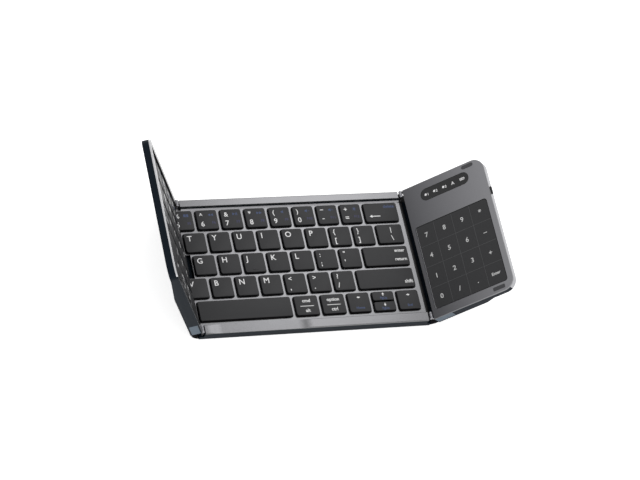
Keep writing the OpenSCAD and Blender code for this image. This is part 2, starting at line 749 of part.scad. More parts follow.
module power_slider() on_centre() color("#26282b") {
    block(slider_x - slider_w / 2, slider_x + slider_w / 2, depth / 2 - wall_t - slide_clear,
        depth / 2 + slider_out, slider_z - slider_h / 2, slider_z + slider_h / 2);
    block(slider_x - slider_w / 2 - wall_t, slider_x + slider_w / 2 + wall_t,
        well_back + wall_t + slide_clear, depth / 2 - wall_t - slide_clear,
        slider_z - slider_h, slider_z + slider_h);
}

// ---- Left panel ----

// The side view of an outer panel: thick by the hinge, then a slope to the thin end
module wing_section(thick_w, slope_w, w, top) {
    polygon([[-10, -tray_depth], [thick_w, -tray_depth], [thick_w + slope_w, thin_z],
        [w + cut, thin_z], [w + cut, top], [-10, top]]);
}

// The pocket for a hinge block in an outer panel's tray, and the holes below it
module block_pockets(top) {
    inner = barrel_len / 2 + seat_clear;
    for (y = [[-depth / 2 - cut, front_hinge_y + inner], [back_hinge_y - inner, depth / 2 + cut]])
        block(-cut, leaf_len + seat_clear, y[0], y[1], axis_h - block_depth - seat_clear / 2, top);
    for (p = wing_screw_at) screw_hole(p[0], p[1], axis_h - block_depth);
}

module left_tray() on_left() color(plastic) difference() {
    union() {
        intersection() {
            slab(-tray_depth, sheet_z) left_outline(left_deep_x);
            mirror([1, 0, 0]) along_y() wing_section(left_block_w, left_slope_w, left_w, sheet_z);
        }
        slab(-tab_depth, sheet_z) intersection() {
            left_outline(band_x);
            translate([-cut - 10, well_front]) square([30, well_back - well_front]);
        }
        slab(sheet_z, rail_seat) difference() {
            left_outline(left_deep_x);
            left_well(wall_t);
        }
    }
    // The hollow in the thick block, with one rib along its middle
    difference() {
        block(-left_block_w + wall_t, -wing_x - 7, well_front + wall_t, well_back - wall_t,
            floor_z, sheet_z + cut);
        block(-left_block_w, 0, -wall_t / 2, wall_t / 2, floor_z - cut, sheet_z + 2 * cut);
    }
    mirror([1, 0, 0]) {
        block_pockets(rail_h);
        wing_feet(left_block_w, screw_clear);
    }
}

module left_top_frame() on_left() color(metal) difference() {
    slab(-plate_t, rail_h) left_outline(band_x);
    slab(0, rail_h + cut) left_well(0);
    slab(-plate_t - cut, rail_seat) difference() {
        left_outline(band_x);
        left_well(wall_t - seat_clear);
    }
    slab(-plate_t - cut, cut) for (r = [0:rows - 1]) openings(left_row(r), row_y(r));
    mirror([1, 0, 0]) block_pockets(rail_seat);
    // Room for the rails' ends and the barrels
    for (y = [-depth / 2 - cut, well_back]) translate([-wing_x, y, -plate_t - cut])
        cube([10, (y < 0 ? front_rail_w : back_rail_w) + cut, rail_h + plate_t + 2 * cut]);
}

module left_switch_sheet() on_left() color("#202226") {
    slab(sheet_z, -plate_t) intersection() {
        left_outline(band_x);
        left_well(wall_t - 2 * seat_clear);
        translate([-left_w, well_front + seat_clear])
            square([left_w + 10, well_back - well_front - 2 * seat_clear]);
    }
    for (r = [0:rows - 1]) pads(left_row(r), row_y(r));
}

// ---- Right panel ----

module right_tray() on_right() color(plastic) difference() {
    intersection() {
        slab(-tray_depth, frame_z) right_outline();
        along_y() wing_section(right_block_w, right_slope_w, right_w, frame_z);
    }
    // The hollow of the thick block, open to the one of the thin end
    block(undercut_x + wall_t, right_block_w - wall_t, well_front + wall_t,
        well_back - wall_t, floor_z, frame_z + cut);
    slab(thin_z + floor_t, frame_z + cut) difference() {
        right_outline(wall_t);
        square([2 * (undercut_x + wall_t), 2 * depth], center = true);
        for (y = [-depth / 2 - front_rail_w + wall_t, depth / 2 - back_rail_w - wall_t])
            translate([0, y]) square([leaf_len + wall_t, 2 * front_rail_w]);
    }
    // Seats for the touch board and the lens
    slab(frame_z - touch_board_t, frame_z + cut) glass_outline(seat_clear - under_lap);
    slab(frame_z - lens_flange_t, frame_z + cut) lens_outline(seat_clear + under_lap);
    // The undercut above the centre panel's ledge
    block(-cut, undercut_x, -depth / 2 + front_rail_w, well_back, -tray_depth - cut, undercut_z);
    block_pockets(rail_h);
    wing_feet(right_block_w, screw_clear);
    button_slot();
}

module button_slot() {
    block(right_w - wall_t - cut, right_w + cut, button_y - button_w / 2 - slide_clear,
        button_y + button_w / 2 + slide_clear, button_z - button_h / 2 - slide_clear,
        button_z + button_h / 2 + slide_clear);
}

module right_top_frame() on_right() color(dark_metal) difference() {
    slab(frame_z, rail_h) right_outline();
    slab(frame_z - cut, rail_h + cut) {
        glass_outline(seat_clear);
        lens_outline(seat_clear);
    }
    slab(rail_h - bumper_seat, rail_h + cut) bumper_outlines(seat_clear / 2);
}

module glass_outline(grow) {
    round_rect(glass_x - grow, glass_y - grow, glass_w + 2 * grow, glass_d + 2 * grow,
        glass_corner + grow);
}

module lens_outline(grow) {
    round_rect(lens_x - grow, lens_y - lens_d / 2 - grow, lens_w + 2 * grow, lens_d + 2 * grow,
        lens_d / 2 + grow - 0.01, wide_steps);
}

module bumper_outlines(grow) {
    for (y = [-depth / 2 + front_rail_w / 2, depth / 2 - back_rail_w / 2])
        round_rect(bumper_x - bumper_w / 2 - grow, y - bumper_d / 2 - grow, bumper_w + 2 * grow,
            bumper_d + 2 * grow, (y > 0 ? bumper_d / 2 : bumper_d / 4) + grow - 0.01);
}

module touch_glass() on_right() color("#2b2b2d") {
    slab(frame_z, rail_h - glass_drop) glass_outline(0);
}

module touch_board() on_right() color("#1f5a3c") {
    slab(frame_z - touch_board_t, frame_z) glass_outline(-under_lap);
}

module indicator_lens() on_right() color("#1d1d20") {
    slab(frame_z - lens_flange_t, frame_z) lens_outline(under_lap);
    slab(frame_z, rail_h - glass_drop) lens_outline(0);
}

module battery() on_right() color("#7d8288") {
    slab(floor_z, floor_z + battery_t)
        round_rect(undercut_x + wall_t + seat_clear, -battery_d / 2, battery_w, battery_d, wall_t);
}

module right_bumpers() on_right() color("#4a4a4c") {
    slab(rail_h - bumper_seat, rail_h + bumper_h) bumper_outlines(0);
}

module mode_button() on_right() color("#26282b") {
    inner = right_w - wall_t - slide_clear;
    w = button_w / 2;
    h = button_h / 2;
    block(inner - wall_t, right_w + button_out, button_y - w, button_y + w, button_z - h,
        button_z + h);
    block(inner - wall_t, inner, button_y - w - button_flange, button_y + w + button_flange,
        button_z - h - button_flange, button_z + h + button_flange);
}

centre_tray();
centre_top_frame();
front_rail();
back_rail();
centre_switch_sheet();
centre_support_plate();
control_board();
charge_socket();
centre_hinge_leaves();
hinge_pins();
centre_feet();
centre_screws();
power_slider();
left_tray();
left_top_frame();
left_switch_sheet();
left_hinge_leaves();
left_feet();
left_screws();
left_number_keys();
left_upper_keys();
left_home_keys();
left_lower_keys();
left_bottom_keys();
right_tray();
right_top_frame();
touch_glass();
touch_board();
indicator_lens();
battery();
right_hinge_leaves();
right_bumpers();
right_feet();
right_screws();
mode_button();
number_keys();
backspace_key();
bracket_keys();
sign_keys();
enter_key();
stop_keys();
right_shift_key();
space_bar();
modifier_keys();
arrow_keys();
key_t();
key_y();
key_u();
key_i();
key_o();
key_p();
key_g();
key_h();
key_j();
key_k();
key_l();
key_v();
key_b();
key_n();
key_m();
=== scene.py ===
import json
import math
import bpy
import bmesh
from mathutils import Matrix, Vector

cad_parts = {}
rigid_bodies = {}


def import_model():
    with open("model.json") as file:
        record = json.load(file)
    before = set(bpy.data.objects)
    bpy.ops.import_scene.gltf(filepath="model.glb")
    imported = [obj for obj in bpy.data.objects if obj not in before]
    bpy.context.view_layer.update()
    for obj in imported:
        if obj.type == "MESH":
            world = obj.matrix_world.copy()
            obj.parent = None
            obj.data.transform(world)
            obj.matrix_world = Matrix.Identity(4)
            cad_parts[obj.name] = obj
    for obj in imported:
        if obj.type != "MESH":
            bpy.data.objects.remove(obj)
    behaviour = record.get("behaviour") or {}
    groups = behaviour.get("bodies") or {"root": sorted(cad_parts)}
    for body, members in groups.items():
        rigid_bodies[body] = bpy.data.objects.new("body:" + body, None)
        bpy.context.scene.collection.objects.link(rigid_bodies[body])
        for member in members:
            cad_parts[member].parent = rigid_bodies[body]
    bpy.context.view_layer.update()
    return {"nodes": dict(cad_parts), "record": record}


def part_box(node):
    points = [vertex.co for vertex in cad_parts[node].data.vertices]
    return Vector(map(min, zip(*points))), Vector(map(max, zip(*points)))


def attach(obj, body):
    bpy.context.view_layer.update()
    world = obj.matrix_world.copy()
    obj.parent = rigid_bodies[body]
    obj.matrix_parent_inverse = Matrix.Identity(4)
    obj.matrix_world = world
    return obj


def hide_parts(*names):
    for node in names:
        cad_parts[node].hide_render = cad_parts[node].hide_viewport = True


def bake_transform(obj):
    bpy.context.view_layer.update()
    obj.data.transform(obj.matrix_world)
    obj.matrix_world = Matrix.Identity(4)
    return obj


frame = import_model()
record = frame["record"]
mm = 0.001
tiny = 1e-6  # m; corners nearer than this are one corner
print("frame loaded:", len(frame["nodes"]), "nodes")


# helpers for nodes, objects and meshes

def linear(hexColour):
    # sRGB hex to the linear colour that shaders use
    parts = [int(hexColour[i:i + 2], 16) / 255 for i in (1, 3, 5)]
    return [c / 12.92 if c <= 0.04045 else ((c + 0.055) / 1.055) ** 2.4 for c in parts] + [1.0]


def addNode(tree, kind, settings=None, links=None):
    # settings: attributes, or values of inputs by name or number; links: input -> output socket
    node = tree.nodes.new(kind)
    for key, value in (settings or {}).items():
        if isinstance(key, str) and hasattr(node, key) and key not in node.inputs:
            setattr(node, key, value)
        else:
            node.inputs[key].default_value = value
    for key, source in (links or {}).items():
        tree.links.new(source, node.inputs[key])
    return node


def blankMaterial(name):
    material = bpy.data.materials.new(name)
    material.use_nodes = True
    material.node_tree.nodes.clear()
    return material, material.node_tree


def addObject(name, data):
    thing = bpy.data.objects.new(name, data)
    bpy.context.scene.collection.objects.link(thing)
    return thing


def toMesh(bm, name, *materials):
    mesh = bpy.data.meshes.new(name)
    bm.to_mesh(mesh)
    bm.free()
    for material in materials:
        mesh.materials.append(material)
    return mesh


def evaluated(thing):
    # the mesh that an object's modifiers or letters come to
    graph = bpy.context.evaluated_depsgraph_get()
    mesh = bpy.data.meshes.new_from_object(thing.evaluated_get(graph), depsgraph=graph)
    bpy.data.objects.remove(thing)
    return mesh


# camera, floor and light

view = {
    "place": (-557.73, -666.54, 1334.85),  # mm
    "right": (0.933, -0.205, 0.297),
    "down": (-0.043, -0.881, -0.471),
    "lens": 135.07,
    "sensor": 36.0,
    "farEnd": 20,  # m
}
light = {  # m and W
    "keySize": 0.22, "keyPower": 0.38, "keyAt": (0.256, 0.312, 0.586), "keyAim": (0, 0, 0.02),
    "worldLevel": 0.86, "floorSize": 9.0, "floorColour": "#F7F7F7", "floorLift": 0.62,
}


def seenDirectly(tree):
    # 1 where the camera looks straight, through glass or by way of a gloss, 0 for light itself
    path = addNode(tree, "ShaderNodeLightPath").outputs
    seen = path["Is Camera Ray"]
    for ray in ("Is Transmission Ray", "Is Glossy Ray"):
        seen = addNode(tree, "ShaderNodeMath", {"operation": "MAXIMUM"},
                       {0: seen, 1: path[ray]}).outputs[0]
    return seen


def makeCamera():
    right = Vector(view["right"]).normalized()
    down = Vector(view["down"])
    down = (down - right * down.dot(right)).normalized()
    back = -right.cross(down)
    turn = Matrix((right, -down, back)).transposed().to_4x4()
    data = bpy.data.cameras.new("photoCamera")
    data.lens, data.sensor_width = view["lens"], view["sensor"]
    data.clip_end = view["farEnd"]
    camera = addObject("photoCamera", data)
    camera.matrix_world = Matrix.Translation(Vector(view["place"]) * mm) @ turn
    bpy.context.scene.camera = camera


def makeLamp():
    data = bpy.data.lights.new("keyLamp", "AREA")
    data.shape, data.size, data.energy = "DISK", light["keySize"], light["keyPower"]
    lamp = addObject("keyLamp", data)
    lamp.location = light["keyAt"]
    way = Vector(light["keyAim"]) - Vector(light["keyAt"])
    lamp.rotation_euler = way.to_track_quat("-Z", "Y").to_euler()


def makeWorld():
    world = bpy.data.worlds.new("paleStudio")
    bpy.context.scene.world = world
    world.use_nodes = True
    tree = world.node_tree
    tree.nodes.clear()
    level = addNode(tree, "ShaderNodeMapRange", {"To Min": light["worldLevel"], "To Max": 1.0},
                    {"Value": seenDirectly(tree)})
    sky = addNode(tree, "ShaderNodeBackground", {"Color": (1, 1, 1, 1)},
                  {"Strength": level.outputs[0]})
    addNode(tree, "ShaderNodeOutputWorld", None, {"Surface": sky.outputs[0]})


def makeFloor():
    # painted board, matt and nearly white, lifted to the photograph's pale ground
    mesh = bpy.data.meshes.new("tableTop")
    h = light["floorSize"] / 2
    mesh.from_pydata([(-h, -h, 0), (h, -h, 0), (h, h, 0), (-h, h, 0)], [], [(0, 1, 2, 3)])
    floor = addObject("tableTop", mesh)
    material, tree = blankMaterial("paleTable")
    matt = addNode(tree, "ShaderNodeBsdfDiffuse", {"Color": linear(light["floorColour"])})
    lift = addNode(tree, "ShaderNodeMath", {"operation": "MULTIPLY", 1: light["floorLift"]},
                   {0: seenDirectly(tree)})
    glow = addNode(tree, "ShaderNodeEmission", {"Color": (1, 1, 1, 1)},
                   {"Strength": lift.outputs[0]})
    both = addNode(tree, "ShaderNodeAddShader", None, {0: matt.outputs[0], 1: glow.outputs[0]})
    addNode(tree, "ShaderNodeOutputMaterial", None, {"Surface": both.outputs[0]})
    mesh.materials.append(material)


bpy.context.scene.view_settings.view_transform = "Standard"
makeCamera()
makeWorld()
makeFloor()
makeLamp()
print("camera, floor and lamp placed")


# materials

texture = {"cloudSize": 14, "cloudEnds": (0.3, 0.7), "streakRoughness": (-0.08, 0.1),
           "bumpStrength": 0.6}  # the cloud's size in mm


def surface(name, colour, roughness, metallic=0.0, grain=None, mottle=0.0, specular=None,
            streak=None, fade=None):
    # grain: (size in mm, depth in mm) of the fine texture; mottle: how much the colour drifts
    # streak: (length, width) in mm of the brushing, which runs along X
    # fade: (second colour, start, end) in metres, for a colour that is painted to change from start
    # to end, as painted light
    material, tree = blankMaterial(name)
    place = addNode(tree, "ShaderNodeTexCoord").outputs["Object"]
    shader = addNode(tree, "ShaderNodeBsdfPrincipled", {
        "Base Color": linear(colour), "Roughness": roughness, "Metallic": metallic})
    if specular is not None:
        shader.inputs["Specular IOR Level"].default_value = specular
    if mottle:
        cloud = addNode(tree, "ShaderNodeTexNoise",
                        {"Scale": 1 / (texture["cloudSize"] * mm), "Detail": 3.0,
                         "Roughness": 0.6}, {"Vector": place})
        base = Vector(linear(colour)[:3])
        ramp = addNode(tree, "ShaderNodeValToRGB", None, {"Fac": cloud.outputs["Fac"]})
        ends = zip(ramp.color_ramp.elements, texture["cloudEnds"], (1 - mottle, 1 + mottle))
        for element, position, share in ends:
            element.position, element.color = position, [*(base * share), 1]
        tree.links.new(ramp.outputs["Color"], shader.inputs["Base Color"])
    if fade:
        start, end = Vector(fade[1]), Vector(fade[2])
        along = addNode(tree, "ShaderNodeVectorMath", {"operation": "SUBTRACT", 1: start},
                        {0: place})
        along = addNode(tree, "ShaderNodeVectorMath", {
            "operation": "DOT_PRODUCT", 1: (end - start) / (end - start).length_squared},
            {0: along.outputs[0]})
        paintedGradient = addNode(tree, "ShaderNodeMix", {"data_type": "RGBA", 6: linear(colour),
                                              7: linear(fade[0])}, {0: along.outputs["Value"]})
        tree.links.new(paintedGradient.outputs[2], shader.inputs["Base Color"])
    if streak:
        long, wide = 1 / (streak[0] * mm), 1 / (streak[1] * mm)
        stretch = addNode(tree, "ShaderNodeMapping", {"Scale": (long, wide, wide)},
                          {"Vector": place})
        lines = addNode(tree, "ShaderNodeTexNoise", {"Scale": 1.0, "Detail": 2.0},
                        {"Vector": stretch.outputs[0]})
        smooth, rough = (roughness + change for change in texture["streakRoughness"])
        spread = addNode(tree, "ShaderNodeMapRange", {"To Min": smooth, "To Max": rough},
                         {"Value": lines.outputs["Fac"]})
        tree.links.new(spread.outputs[0], shader.inputs["Roughness"])
    if grain:
        fine = addNode(tree, "ShaderNodeTexNoise", {"Scale": 1 / (grain[0] * mm), "Detail": 2.0},
                       {"Vector": place})
        bump = addNode(tree, "ShaderNodeBump", {"Distance": grain[1] * mm,
                                                "Strength": texture["bumpStrength"]},
                       {"Height": fine.outputs["Fac"]})
        tree.links.new(bump.outputs[0], shader.inputs["Normal"])
    addNode(tree, "ShaderNodeOutputMaterial", None, {"Surface": shader.outputs[0]})
    return material


joints = {j["name"]: j for j in record["behaviour"]["joints"]}
paintedSheenLength = 0.06  # m, from the right fold to where the painted sheen is lightest
slope = math.radians(-joints["fold_right"]["range_deg"][0])
foldLine = Vector(joints["fold_right"]["pos_m"])
freeEnd = foldLine + Vector((math.cos(slope), 0, math.sin(slope))) * paintedSheenLength

finishes = {
    # PBT key caps, moulded in a spark-eroded tool: a soft charcoal satin
    "key_plastic": surface("mouldedKeyPlastic", "#2A2A2C", 0.46, grain=(0.35, 0.012), mottle=0.06,
                           specular=0.33),
    # ABS shells under a matt soft-touch lacquer: dark slate blue with hardly any gloss
    "shell_plastic": surface("matteSlateShell", "#121A22", 0.5, grain=(0.5, 0.02), mottle=0.05,
                             specular=0.06),
    # bead-blasted, clear anodised aluminium: even satin, a little grain
    "frame_metal": surface("blastedAluminium", "#6E6E70", 0.25, 1.0, grain=(0.3, 0.006),
                           mottle=0.03),
    # the same aluminium in grey, with a painted sheen: its colour goes from darker at the fold to
    # lighter at the free end
    "touch_frame_metal": surface("greyAluminiumPaintedSheen", "#565659", 0.38, 1.0,
                                 grain=(0.3, 0.006), fade=("#838386", foldLine, freeEnd)),
    # black polyester switch foil: dull, with faint clouds
    "switch_sheet": surface("blackFoil", "#161618", 0.5, mottle=0.1),
    # rolled steel, brushed along the length: fine long streaks
    "support_steel": surface("brushedSteel", "#8A8A8D", 0.36, 1.0, streak=(6, 0.25)),
    # hinge blocks in satin paint: light slate blue, softly shining
    "hinge_block_metal": surface("satinSlatePaint", "#4E5E6C", 0.4, grain=(0.4, 0.01), mottle=0.05,
                                 specular=0.25),
    # lacquered glass-fibre laminate: deep green with a smooth shine
    "circuit_board": surface("greenLaminate", "#1B5234", 0.35, mottle=0.12),
    # moulded rubber: matt, with a dusty bloom
    "foot_rubber": surface("mouldedRubber", "#1E1E20", 0.75, grain=(0.4, 0.03), mottle=0.1,
                           specular=0.3),
    # etched glass over a charcoal print: satin and very even
    "touch_glass": surface("etchedTouchGlass", "#17171A", 0.36, mottle=0.03, specular=0.45),
    # polished black polycarbonate: a clear dark reflection
    "lens_plastic": surface("polishedLens", "#121214", 0.18, specular=0.4),
    # aluminium foil pouch: silver, lightly crinkled
    "battery_foil": surface("foilPouch", "#9A9DA0", 0.32, 1.0, grain=(1.5, 0.05)),
    # POM slider and button, as moulded: matt black
    "switch_plastic": surface("matteBlackPom", "#161618", 0.45, grain=(0.3, 0.01), mottle=0.05),
}
# chamfers cut after anodising: bare, bright aluminium
chamfer = surface("polishedChamfer", "#C4C4C6", 0.25, 1.0, mottle=0.02)
# a paler copy of the blasted aluminium, pale satin: a painted highlight at the touch panel's free
# end and along the key plate's back
paintedEdgeHighlight = surface("paleEdgeHighlight", "#A2A2A5", 0.35, 1.0, grain=(0.3, 0.006), mottle=0.02)
# the chamfer on the grey touch frame, cut with a coarser tool: a softer shine
dimChamfer = surface("dimChamfer", "#8E8E91", 0.3, 1.0, mottle=0.02)
# bumpers of moulded silicone: grey, a shade darker than the frame around them
greySilicone = surface("greySilicone", "#38383B", 0.6, grain=(0.4, 0.02), mottle=0.06)
# the glass's edge towards the fold: pale and dull, a painted highlight
glassFoldHighlight = surface("paintedGlassHighlight", "#A8A8AC", 0.55, mottle=0.02, specular=0.4)
# hinge barrels of turned steel, nickel plated: smooth and bright
barrelSteel = surface("nickelPlatedSteel", "#86868A", 0.3, 1.0, mottle=0.03)
# deep dull black: painted shade on the roots of the hinge leaves, beside the barrels; also the thin
# strip beside the right fold
blackStripAndRootShade = surface("blackStripRootShade", "#0E0E10", 0.4, mottle=0.1, specular=0.3)
# the caps' steep walls, polished by the mould's pull and painted nearly black: painted shade on the
# caps' sides
paintedShadeWall = surface("paintedShadeCapWalls", "#08080A", 0.35, mottle=0.05, specular=0.3)
# pad-printed inks, flat and opaque: three on the keys, two greys on the glass
inks = {name: surface(name, colour, roughness, mottle=0.02) for name, colour, roughness in (
    ("whiteKeyInk", "#F0F0F0", 0.55), ("blueKeyInk", "#3D4C70", 0.55),
    ("violetKeyInk", "#37385A", 0.55), ("greyPadInk", "#C4C4C4", 0.5),
    ("greyLineInk", "#48484A", 0.5))}

slotOf = {s["node"]: s["material_slot"] for s in record["subparts"]}
bodyOf = {n: b for b, nodes in record["behaviour"]["bodies"].items() for n in nodes}
for node, part in frame["nodes"].items():
    part.data.materials.clear()
    part.data.materials.append(finishes[slotOf[node]])
print("finishes:", len(bpy.data.materials))


# places: each panel as if folded flat

parentOf = {j["child"]: j["parent"] for j in joints.values()}
foldOf = {"left_wing": joints["fold_left"], "right_wing": joints["fold_right"]}


def flatten(body):
    # from a panel's place at rest to its place when the whole keyboard lies flat
    fold = foldOf.get(body) or foldOf.get(parentOf.get(body))
    if not fold:
        return Matrix.Identity(4)
    pivot = Matrix.Translation(Vector(fold["pos_m"]))
    turn = Matrix.Rotation(math.radians(fold["range_deg"][0]), 4, Vector(fold["axis"]))
    return pivot @ turn @ pivot.inverted()


def islands(node):
    # the lowest and highest corner of each loose piece of a node, in the flat place
    bm = bmesh.new()
    bm.from_mesh(frame["nodes"][node].data)
    bmesh.ops.remove_doubles(bm, verts=bm.verts, dist=tiny)
    bm.transform(flatten(bodyOf[node]))
    left = set(bm.verts)
    boxes = []
    while left:
        todo, group = [left.pop()], []
        while todo:
            vert = todo.pop()
            group.append(vert.co.copy())
            for edge in vert.link_edges:
                other = edge.other_vert(vert)
                if other in left:
                    left.remove(other)
                    todo.append(other)
        boxes.append((Vector([min(c[i] for c in group) for i in range(3)]),
                      Vector([max(c[i] for c in group) for i in range(3)])))
    bm.free()
    return sorted(boxes, key=lambda b: (round(b[0].x, 4), -b[0].y))


# ways in which every piece is made and finished

roundAngle = 35  # degrees; edges that turn less are shaded round
bevelProfile = 0.5  # a plain arc


def shadeRound(mesh, angle):
    mesh.shade_smooth()
    mesh.set_sharp_from_angle(angle=math.radians(angle))


def finishPiece(name, mesh, body, stands=(), angle=roundAngle):
    # stands: the CAD nodes that the piece replaces
    if angle:
        shadeRound(mesh, angle)
    piece = addObject(name, mesh)
    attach(piece, body)
    if stands:
        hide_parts(*stands)


def newTree(name, inputs, output):
    # inputs: name -> kind of socket; gives the tree, its inputs' identifiers and their sockets
    tree = bpy.data.node_groups.new(name, "GeometryNodeTree")
    ids = {key: tree.interface.new_socket(key, in_out="INPUT", socket_type=kind).identifier
           for key, kind in inputs.items()}
    tree.interface.new_socket(output, in_out="OUTPUT", socket_type="NodeSocketGeometry")
    return tree, ids, addNode(tree, "NodeGroupInput").outputs


def grown(tree, ids, values):
    # the mesh that a tree makes from these inputs
    holder = addObject("holder", bpy.data.meshes.new("holder"))
    maker = holder.modifiers.new("maker", "NODES")
    maker.node_group = tree
    for name, value in values.items():
        maker[ids[name]] = value
    return evaluated(holder)


def roundedBar(name, size, middle, edge, segments, finish):
    # a bar with rounded edges; edge in mm, size and middle in metres
    bm = bmesh.new()
    bmesh.ops.create_cube(bm, size=1)
    bmesh.ops.scale(bm, vec=size, verts=bm.verts)
    bmesh.ops.bevel(bm, geom=list(bm.edges), offset=edge * mm, segments=segments, affect="EDGES",
                    profile=bevelProfile)
    bmesh.ops.translate(bm, vec=middle, verts=bm.verts)
    return toMesh(bm, name, finish)


def lofted(name, sections, finish):
    # a closed strip through sections of four corners each, in metres
    bm = bmesh.new()
    rings = [[bm.verts.new(corner) for corner in section] for section in sections]
    for a, b in zip(rings, rings[1:]):
        for k in range(4):
            bm.faces.new((a[k], a[(k + 1) % 4], b[(k + 1) % 4], b[k]))
    bm.faces.new(rings[0])
    bm.faces.new(rings[-1])
    bmesh.ops.recalc_face_normals(bm, faces=bm.faces)
    return toMesh(bm, name, finish)


# key caps

capValues = {"Corner": 1.7, "Skirt": 0.5, "Draft": 0.3, "Edge": 0.35, "Hollow Wall": 1,
             "Hollow Height": 1.1}  # mm
capSteps = {"corner": 6, "edge": 3}


def makeCapTree():
    # a rounded rectangle, pulled up in steps that follow the cap's wall and its soft top edge
    numbers = ("Width", "Depth", "Height", *capValues)
    tree, ids, given = newTree("keyCap", {
        **dict.fromkeys(numbers, "NodeSocketFloat"),
        **dict.fromkeys(("Finish", "Wall"), "NodeSocketMaterial")}, "Cap")
    size = addNode(tree, "ShaderNodeCombineXYZ", None, {"X": given["Width"], "Y": given["Depth"]})
    outline = addNode(tree, "GeometryNodeCurvePrimitiveQuadrilateral", None,
                      {"Width": given["Width"], "Height": given["Depth"]})
    rounded = addNode(tree, "GeometryNodeFilletCurve",
                      {"mode": "POLY", "Count": capSteps["corner"]},
                      {"Curve": outline.outputs[0], "Radius": given["Corner"]})
    base = addNode(tree, "GeometryNodeFillCurve", {"mode": "NGONS"}, {"Curve": rounded.outputs[0]})
    # the way out from the rounded rectangle's core, at each point
    half = addNode(tree, "ShaderNodeVectorMath", {"operation": "SCALE", "Scale": 0.5},
                   {0: size.outputs[0]})
    core = addNode(tree, "ShaderNodeVectorMath", {"operation": "SUBTRACT"},
                   {0: half.outputs[0], 1: given["Corner"]})
    low = addNode(tree, "ShaderNodeVectorMath", {"operation": "SCALE", "Scale": -1.0},
                  {0: core.outputs[0]})
    at = addNode(tree, "GeometryNodeInputPosition")
    clipped = addNode(tree, "ShaderNodeVectorMath", {"operation": "MINIMUM"},
                      {0: at.outputs[0], 1: core.outputs[0]})
    clipped = addNode(tree, "ShaderNodeVectorMath", {"operation": "MAXIMUM"},
                      {0: clipped.outputs[0], 1: low.outputs[0]})
    away = addNode(tree, "ShaderNodeVectorMath", {"operation": "SUBTRACT"},
                   {0: at.outputs[0], 1: clipped.outputs[0]})
    level = addNode(tree, "ShaderNodeVectorMath", {"operation": "MULTIPLY", 1: (1, 1, 0)},
                    {0: away.outputs[0]})
    outwards = addNode(tree, "ShaderNodeVectorMath", {"operation": "NORMALIZE"},
                       {0: level.outputs[0]})

    def amount(pairs):
        # a sum of given sizes, each times a factor
        total = None
        for socket, factor in pairs:
            term = addNode(tree, "ShaderNodeMath", {"operation": "MULTIPLY", 1: factor},
                           {0: given[socket]}).outputs[0]
            total = term if total is None else addNode(
                tree, "ShaderNodeMath", {"operation": "ADD"}, {0: total, 1: term}).outputs[0]
        return total

    def pullUp(shape, steps):
        # extrudes a face step by step, each time by a rise and a shift outwards
        chosen, sides = None, []
        for rise, shift in steps:
            up = addNode(tree, "ShaderNodeCombineXYZ", None, {"Z": amount(rise)} if rise else {})
            links = {"Mesh": shape, "Offset": up.outputs[0]}
            if chosen:
                links["Selection"] = chosen
            pulled = addNode(tree, "GeometryNodeExtrudeMesh",
                             {"mode": "FACES", "Offset Scale": 1.0, "Individual": False}, links)
            shape, chosen = pulled.outputs["Mesh"], pulled.outputs["Top"]
            sides.append(pulled.outputs["Side"])
            if shift:
                move = addNode(tree, "ShaderNodeVectorMath", {"operation": "SCALE"},
                               {0: outwards.outputs[0], "Scale": amount(shift)})
                shape = addNode(tree, "GeometryNodeSetPosition", None,
                                {"Geometry": shape, "Selection": chosen,
                                 "Offset": move.outputs[0]}).outputs[0]
        return shape, sides

    skirt = ([("Skirt", 1)], None)
    wall = ([("Height", 1), ("Skirt", -1), ("Edge", -1)], [("Draft", -1)])
    edge = []
    turn = math.pi / 2 / capSteps["edge"]
    for k in range(capSteps["edge"]):
        a, b = k * turn, (k + 1) * turn
        edge.append(([("Edge", math.sin(b) - math.sin(a))], [("Edge", math.cos(b) - math.cos(a))]))
    shape, sides = pullUp(base.outputs[0], [skirt, wall, *edge])
    # the hollow below, which goes over the switch sheet's pad
    under = addNode(tree, "GeometryNodeFlipFaces", None, {"Mesh": base.outputs[0]})
    under = pullUp(under.outputs[0], [(None, [("Hollow Wall", -1)]),
                                      ([("Hollow Height", 1)], None)])[0]
    joined = addNode(tree, "GeometryNodeJoinGeometry")
    tree.links.new(under, joined.inputs[0])
    tree.links.new(shape, joined.inputs[0])
    closed = addNode(tree, "GeometryNodeMergeByDistance", {"Distance": tiny},
                     {"Geometry": joined.outputs[0]})
    real = addNode(tree, "GeometryNodeRealizeInstances", None, {"Geometry": closed.outputs[0]})
    painted = addNode(tree, "GeometryNodeSetMaterial", None,
                      {"Geometry": real.outputs[0], "Material": given["Finish"]})
    for side in sides[:2]:  # the skirt's and the wall's, painted dark as shade
        painted = addNode(tree, "GeometryNodeSetMaterial", None,
                          {"Geometry": painted.outputs[0], "Selection": side,
                           "Material": given["Wall"]})
    addNode(tree, "NodeGroupOutput", None, {0: painted.outputs[0]})
    return tree, ids


def makeCap(tree, ids, box):
    size, middle = box[1] - box[0], (box[0] + box[1]) / 2
    mesh = grown(tree, ids, {
        "Width": size.x, "Depth": size.y, "Height": size.z,
        **{name: value * mm for name, value in capValues.items()},
        "Finish": finishes["key_plastic"], "Wall": paintedShadeWall})
    wallSlot = list(mesh.materials).index(paintedShadeWall)
    for face in mesh.polygons:
        face.material_index = int(face.material_index == wallSlot)
    mesh.transform(Matrix.Translation((middle.x, middle.y, box[0].z)))
    return mesh


weld = 1e-7  # m; a letter's front and sides come as separate sheets


def gather(meshes, toRest, *materials):
    # joins meshes into one, with its normals out, and moves it to the place at rest
    bm = bmesh.new()
    for mesh in meshes:
        bm.from_mesh(mesh)
        bpy.data.meshes.remove(mesh)
    bmesh.ops.remove_doubles(bm, verts=bm.verts, dist=weld)
    bmesh.ops.recalc_face_normals(bm, faces=bm.faces)
    bm.transform(toRest)
    return toMesh(bm, "gathered", *materials)


